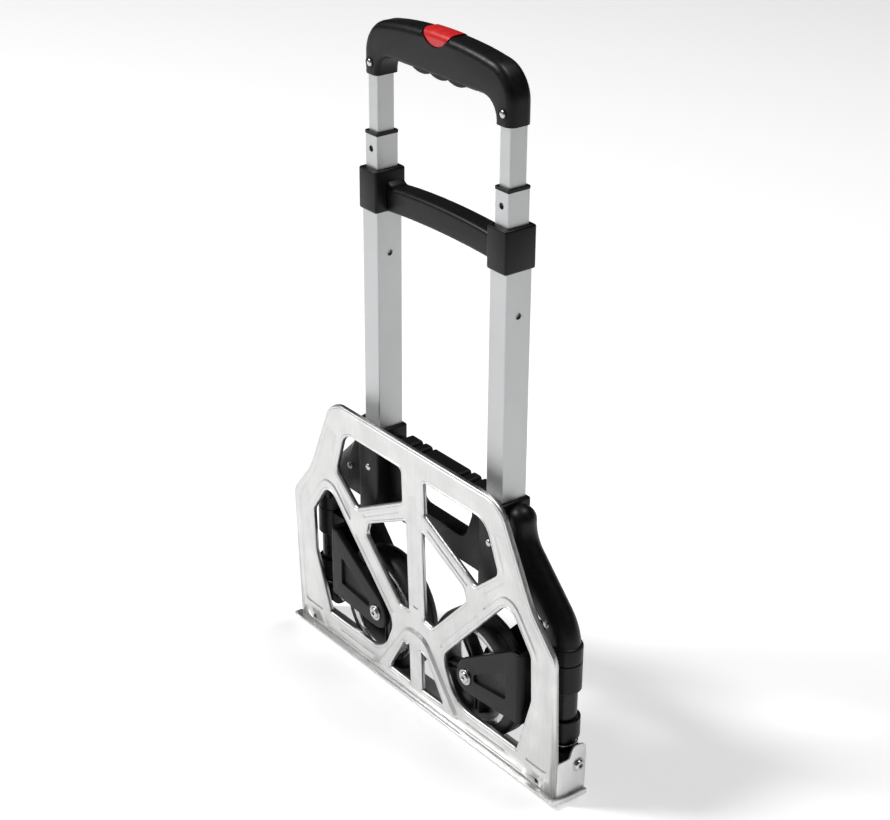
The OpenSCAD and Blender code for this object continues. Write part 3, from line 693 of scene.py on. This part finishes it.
# The sleeve over the bent side post: a bend, a slant, the bend back and a straight end with a dome
def addArm(bm, s):
    foot = Matrix.Translation((s["postX"], 0, s["bendZ"]))
    made = bmesh.ops.create_circle(bm, segments=s["ringSteps"], radius=s["armR"], matrix=foot)
    ring = list({e for v in made["verts"] for e in v.link_edges})
    bend = radians(s["bend"])
    inward, rise = s["bendR"] * (1 - cos(bend)), s["bendR"] * sin(bend)
    run = s["slant"] * sin(bend)
    endX, endZ = s["postX"] - 2 * inward - run, s["bendZ"] + 2 * rise + run
    centre = (s["postX"] - s["bendR"], 0, s["bendZ"])
    ring = turnLoop(bm, ring, centre, (0, -1, 0), bend, s["bendSteps"])
    ring = pushLoop(bm, ring, (-run, 0, run))
    ring = turnLoop(bm, ring, (endX + s["bendR"], 0, endZ), (0, 1, 0), bend, s["bendSteps"])
    pushLoop(bm, ring, (0, 0, s["armTop"] - endZ))
    turns = [pi / 2 * i / s["domeSteps"] for i in range(s["domeSteps"])]
    dome = [(s["armR"] * cos(turn), s["armR"] * sin(turn)) for turn in turns] + [(0, s["armR"])]
    lathe(bm, dome, (endX, 0, s["armTop"]), (0, 0, 1), s["ringSteps"])


def addCorner(s, side):
    bm = bmesh.new()
    sleeve(bm, *s["socket"], s["socketSoft"], s["lip"], s["lipDepth"])
    slab(bm, *s["web"], *s["webY"], s["webSoft"], 3, 8)
    lathe(bm, s["collar"], (s["postX"], 0, 0), (0, 0, 1))
    addArm(bm, s)
    toSide(bm, side)
    node = "corner_bracket_" + side
    finishPiece("cornerBracket_" + side, bm, "frame", "black_plastic", (node,), angle=38)


def addCornerRivets(s):
    bm = bmesh.new()
    for way in (-1, 1):
        for x, y, z in s["rivets"]:
            rivetDome(bm, way * x, y, z)
    finishPiece("frameRivets", bm, "frame", "bright_steel", ("frame_rivets",))


for side in sides:
    addCorner(cornerSet, side)
addCornerRivets(cornerSet)
print("corner brackets ready")

# Wheel brackets, drawn with X as the distance inwards from the post
yokeSet = {
    "postX": 213.6,
    "front": ([(43, 67.6), (112, 63), (155.1, 62), (141.1, 100), (52, 156), (43, 156)], [0, 6, 19, 19, 8, 0]),
    "recess": ([(60, 126), (60, 89), (116, 82.5), (116, 92.5)], [3, 3, 4, 4],
               [(0.5, 0.4), (0.6, 3.6), (0.5, 0.3)]),
    "frontY": -32, "frontDepth": 7, "cornerSteps": 8,
    "rim": [(0.1, 1.2), (0.35, 0.9), (0.6, 0.6), (0.8, 0.35), (0.8, 0.1)],
    "rear": ([(36.2, 68), (112, 63), (155.1, 62), (141.1, 100), (74, 174), (36.2, 174)],
             [3, 6, 19, 19, 8, 6]),
    "rearY": (11.5, 21), "rearWall": 3.2, "rearSlope": 0.4, "rearSink": 5.6,
    # drawn in X and the distance to the front
    "spine": ([(36.2, -14), (44, -14), (44, 25), (53, 25), (53, 31.95), (36.2, 31.95)], [1.2, 0, 0, 0, 0, 8]),
    "spineZ": (68, 156), "spineSoft": 1.6,
    "knuckles": [(66.5, 91), (126.5, 161)], "ring": (15.8, 18.2), "ringSoft": 0.7,
    "neck": (14.6, 40, -12, 15), "neckInset": 0.6, "neckSoft": 1.5,
    "bush": (14.3, 15.7), "bushInset": (0.4, 2),
}


def fromPost(bm, s):
    bmesh.ops.scale(bm, vec=(-1, 1, 1), verts=bm.verts)
    bmesh.ops.reverse_faces(bm, faces=bm.faces)
    bmesh.ops.translate(bm, vec=(s["postX"], 0, 0), verts=bm.verts)


def addKnuckles(bm, s):
    inner, outer = s["ring"]
    near, far, y0, y1 = s["neck"]
    soft, inset = s["ringSoft"], s["neckInset"]
    for z0, z1 in s["knuckles"]:
        profile = [(inner, z0), (outer - soft, z0), (outer, z0 + soft), (outer, z1 - soft),
                   (outer - soft, z1), (inner, z1)]
        lathe(bm, profile, (0, 0, 0), (0, 0, 1), closed=True)
        softBox(bm, (near, y0, z0 + inset), (far, y1, z1 - inset), s["neckSoft"])


def addBushes(s, side):
    bm = bmesh.new()
    inner, outer = s["bush"]
    low, high = s["bushInset"]
    for z0, z1 in s["knuckles"]:
        profile = [(inner, z0 + low), (outer, z0 + low), (outer, z1 - high), (inner, z1 - high)]
        lathe(bm, profile, (s["postX"], 0, 0), (0, 0, 1), closed=True)
    toSide(bm, side)
    finishPiece("postBushes_" + side, bm, "bracket_" + side, "bright_steel", ("post_bushes_" + side,))


def addYoke(s, side):
    bm = bmesh.new()
    frontFace(bm, s["front"], [s["recess"]], s["rim"], s["frontY"], s["frontDepth"], s["cornerSteps"])
    old = set(bm.faces)
    face = roundedFace(bm, *s["rear"], s["rearY"][1], s["cornerSteps"])
    bmesh.ops.inset_region(bm, faces=[face], thickness=s["rearWall"], use_even_offset=True)
    bmesh.ops.inset_region(bm, faces=[face], thickness=s["rearSlope"], use_even_offset=True)
    bmesh.ops.translate(bm, vec=(0, -s["rearSink"], 0), verts=face.verts)
    rim = list({e for f in bm.faces if f not in old for e in f.edges if e.is_boundary})
    back = pushLoop(bm, rim, (0, s["rearY"][0] - s["rearY"][1], 0))
    bmesh.ops.contextual_create(bm, geom=back)
    old = set(bm.verts)
    slab(bm, *s["spine"], *s["spineZ"], s["spineSoft"], cornerSteps=10)
    upright = Matrix.Rotation(radians(90), 3, "X")
    bmesh.ops.rotate(bm, cent=(0, 0, 0), matrix=upright, verts=[v for v in bm.verts if v not in old])
    addKnuckles(bm, s)
    fromPost(bm, s)
    toSide(bm, side)
    node = "wheel_bracket_" + side
    finishPiece("wheelBracket_" + side, bm, "bracket_" + side, "black_plastic", (node,), angle=35)


# Wheels, with their axle bolts
wheelSet = {
    "centre": (84.5, -8.4, 82.8),
    # each profile is (radius, distance along the axle)
    "tyre": [(58.3, -11), (58.6, -13.4), (61.5, -14.7), (66, -15), (70.5, -14.3), (73.4, -12.2),
             (74.8, -9), (75.2, -6), (75.2, -5.1), (74.4, -4.7), (74.4, -4.1), (75.2, -3.7),
             (75.2, 3.7), (74.4, 4.1), (74.4, 4.7), (75.2, 5.1), (75.2, 6), (74.8, 9),
             (73.4, 12.2), (70.5, 14.3), (66, 15), (61.5, 14.7), (58.6, 13.4), (58.3, 11)],
    "felloe": [(53.2, -10.5), (54, -12), (58.1, -12.2), (58.1, 12.2), (54, 12), (53.2, 10.5)],
    "lip": [(53.6, -12.0), (54.2, -13.8), (56, -14.7), (58.5, -14.9), (60.2, -15.2), (61.6, -15.1),
            (62, -14.5), (60, -13.8), (57, -12.2)],
    "hub": [(11.1, -12.6), (13.6, -12.9), (15, -12), (15.6, -8), (15.6, 8), (15, 12), (13.6, 12.9),
            (11.1, 12.6)],
    "spokes": 5, "spokeTurn": 18, "spokeR": (13, 54.5), "spokeW": 11, "spokeDeep": 15, "spokeSoft": 2,
    "spokeRim": 1.0, "grooveSlope": 0.4, "groove": 2.2,
    "bearing": [(4.2, -12.7), (6.4, -12.7), (6.9, -12.2), (8.6, -12.2), (9.1, -12.7), (11, -12.7),
                (11, -6), (4.2, -6)],
    "washer": [(4.1, -2.0), (9.0, -2.0), (9.4, -1.6), (9.4, -0.3), (9.0, 0.1), (4.1, 0.1)],
    "washerY": -32, "rod": [(0, -33), (3.9, -33), (3.9, 22), (3.3, 22.8), (0, 22.8)],
    # distance from the post, height, y, radius and depth
    "head": (129.1, 82.8, -33.2, 7.0, 3.0),
}


def addTyre(s, side):
    bm = bmesh.new()
    lathe(bm, s["tyre"], s["centre"], (0, 1, 0), fineSteps, closed=True)
    toSide(bm, side)
    name = "tyre_{}_soft".format(side)
    finishPiece(name, bm, "wheel_" + side, "tyre_rubber", ("tyre_" + side,), angle=45)


# A spoke along X from the hub, with a groove sunk in both of its broad faces
def addSpoke(bm, s, turn):
    old = set(bm.verts)
    near, far = s["spokeR"]
    halfDeep, halfW = s["spokeDeep"] / 2, s["spokeW"] / 2
    softBox(bm, (near, -halfDeep, -halfW), (far, halfDeep, halfW), s["spokeSoft"])
    faces = list({f for v in bm.verts if v not in old for f in v.link_faces})
    for way in (-1, 1):
        broad = [f for f in faces if f.calc_center_median().y * way > halfDeep - levelReach]
        flat = max(broad, key=lambda f: f.calc_area())
        bmesh.ops.inset_region(bm, faces=[flat], thickness=s["spokeRim"], use_even_offset=True)
        bmesh.ops.inset_region(bm, faces=[flat], thickness=s["grooveSlope"], use_even_offset=True)
        bmesh.ops.translate(bm, vec=(0, -way * s["groove"], 0), verts=flat.verts)
    fresh = [v for v in bm.verts if v not in old]
    bmesh.ops.rotate(bm, cent=(0, 0, 0), matrix=Matrix.Rotation(radians(turn), 3, "Y"), verts=fresh)
    bmesh.ops.translate(bm, vec=s["centre"], verts=fresh)


def addRim(s, side):
    bm = bmesh.new()
    lathe(bm, s["felloe"], s["centre"], (0, 1, 0), fineSteps, closed=True)
    lathe(bm, s["hub"], s["centre"], (0, 1, 0), closed=True)
    for i in range(s["spokes"]):
        addSpoke(bm, s, s["spokeTurn"] + 360 * i / s["spokes"])
    toSide(bm, side)
    node = "wheel_rim_" + side
    finishPiece("wheelRim_" + side, bm, "wheel_" + side, "rim_plastic", (node,), angle=35)


# The same ring on both faces of the wheel
def bothFaces(profile, centre, steps, side):
    bm = bmesh.new()
    for way in (-1, 1):
        lathe(bm, [(r, way * a) for r, a in profile], centre, (0, 1, 0), steps, closed=True)
    toSide(bm, side)
    return bm


def addAxleBolt(s, side):
    reach, z, y, radius, height = s["head"]
    bm = bmesh.new()
    boltHead(bm, reach, z, y, radius, height)
    lathe(bm, s["washer"], (reach, s["washerY"], z), (0, 1, 0), closed=True)
    lathe(bm, s["rod"], (reach, 0, z), (0, 1, 0), smallSteps)
    fromPost(bm, yokeSet)
    toSide(bm, side)
    finishPiece("axleBolt_" + side, bm, "bracket_" + side, "bright_steel", ("axle_" + side,), angle=35)


def addWheel(s, side):
    body = "wheel_" + side
    addTyre(s, side)
    addRim(s, side)
    lip = bothFaces(s["lip"], s["centre"], fineSteps, side)
    finishPiece("rimLip_" + side, lip, body, "bright_steel", angle=50)
    bearing = bothFaces(s["bearing"], s["centre"], roundSteps, side)
    finishPiece("bearing_" + side, bearing, body, "bright_steel", ("bearings_" + side,), angle=35)
    addAxleBolt(s, side)


for side in sides:
    addBushes(yokeSet, side)
    addYoke(yokeSet, side)
    addWheel(wheelSet, side)
print("wheels ready")

# Toe rail, ears, hinge bolts and fold springs
railSet = {
    # profiles are (distance behind the hinge line, height)
    "rail": ([(-41, 8.9), (-41, 6.4), (-18.5, 0), (10, 0), (10, 2.5), (-18.1, 2.5), (-30.4, 6.2),
              (-30.4, 8.9)], [0.8, 1.2, 4, 1.2, 1.2, 1.8, 0.6, 0.6]),
    "half": 240, "railHalf": 242.6, "railSoft": 0.5,
    "lip": ([(-41.4, 9.3), (-41.4, 5.4), (-18.5, 0.02), (10.6, 0.02), (10.6, 6.6), (-17.6, 6.6),
             (-31, 9.3)], [1.2, 1.6, 4, 1.4, 1.4, 4, 2]),
    "lipX": (239.9, 243.6), "lipSoft": 0.9,
    "ear": ([(-30.3, 6.4), (-18.1, 2.5), (10, 2.5), (11, 66), (-8, 66), (-13, 52), (-30.3, 52)],
            [0, 0, 0, 9, 6, 4, 3]),
    "earX": (237.5, 240), "earSoft": 0.5,
    # y, height, radius and depth of the bolt's head
    "bolt": (0, 40.3, 6.5, 4),
    "washer": [(4.1, -0.9), (8.0, -0.9), (8.3, -0.6), (8.3, 0), (4.1, 0)],
    "stem": [(0, 0), (3.95, 0), (3.95, 47), (0, 47)],
    "nut": [(3.9, 41), (7, 41), (7, 46.4), (6.4, 47), (3.9, 47)],
    "spring": {"z": 60.2, "wire": 1.0, "wireSteps": 12, "radius": 15.8, "leg": 13, "legTurns": (215, 300)},
}


# Turns a shape drawn in Y and Z so that its front faces +X
def turnOut(bm):
    quarter = Matrix.Rotation(radians(90), 3, "Z")
    bmesh.ops.rotate(bm, cent=(0, 0, 0), matrix=quarter, verts=bm.verts)


def addRail(s):
    bm = bmesh.new()
    slab(bm, *s["rail"], -s["railHalf"], s["railHalf"], s["railSoft"], 2, 4)
    near, far = s["lipX"]
    for y0, y1 in ((-far, -near), (near, far)):
        slab(bm, *s["lip"], y0, y1, s["lipSoft"], 3, 4)
    turnOut(bm)
    finishPiece("toeRail", bm, "toe", "plate_aluminium", ("toe_rail",), angle=30)


def addEar(s, side):
    bm = bmesh.new()
    slab(bm, *s["ear"], -s["earX"][1], -s["earX"][0], s["earSoft"], 3, 8)
    turnOut(bm)
    toSide(bm, side)
    finishPiece("toeEar_" + side, bm, "toe", "plate_aluminium", ("toe_ear_" + side,), angle=35)


def addHingeBolt(s, side):
    bm = bmesh.new()
    y, z, radius, height = s["bolt"]
    place = (y, -s["half"], z)
    boltHead(bm, y, z, -s["half"], radius, height)
    lathe(bm, s["washer"], place, (0, 1, 0), 40, closed=True)
    lathe(bm, s["stem"], place, (0, 1, 0), smallSteps)
    lathe(bm, s["nut"], place, (0, 1, 0), 6, closed=True)
    turnOut(bm)
    toSide(bm, side)
    finishPiece("hingeBolt_" + side, bm, "toe", "bright_steel", ("hinge_bolt_" + side,), angle=35)


def addSpring(s, postX, side):
    bm = bmesh.new()
    start = Matrix.Translation((s["radius"], 0, 0)) @ Matrix.Rotation(radians(90), 4, "X")
    made = bmesh.ops.create_circle(bm, segments=s["wireSteps"], radius=s["wire"], matrix=start)
    ring = list({e for v in made["verts"] for e in v.link_edges})
    turnLoop(bm, ring, (0, 0, 0), (0, 0, 1), 2 * pi, 40)
    drop = Matrix.Translation((s["radius"], 0, -s["leg"] / 2))
    for turn in s["legTurns"]:
        bmesh.ops.create_cone(bm, cap_ends=True, segments=s["wireSteps"], radius1=s["wire"],
            radius2=s["wire"], depth=s["leg"], matrix=Matrix.Rotation(radians(turn), 4, "Z") @ drop)
    bmesh.ops.translate(bm, vec=(postX, 0, s["z"]), verts=bm.verts)
    toSide(bm, side)
    finishPiece("foldSpring_" + side, bm, "frame", "bright_steel", ("fold_spring_" + side,), angle=35)


addRail(railSet)
for side in sides:
    addEar(railSet, side)
    addHingeBolt(railSet, side)
for side in sides:
    addSpring(railSet["spring"], cornerSet["postX"], side)
print("rail, hinges and springs ready")
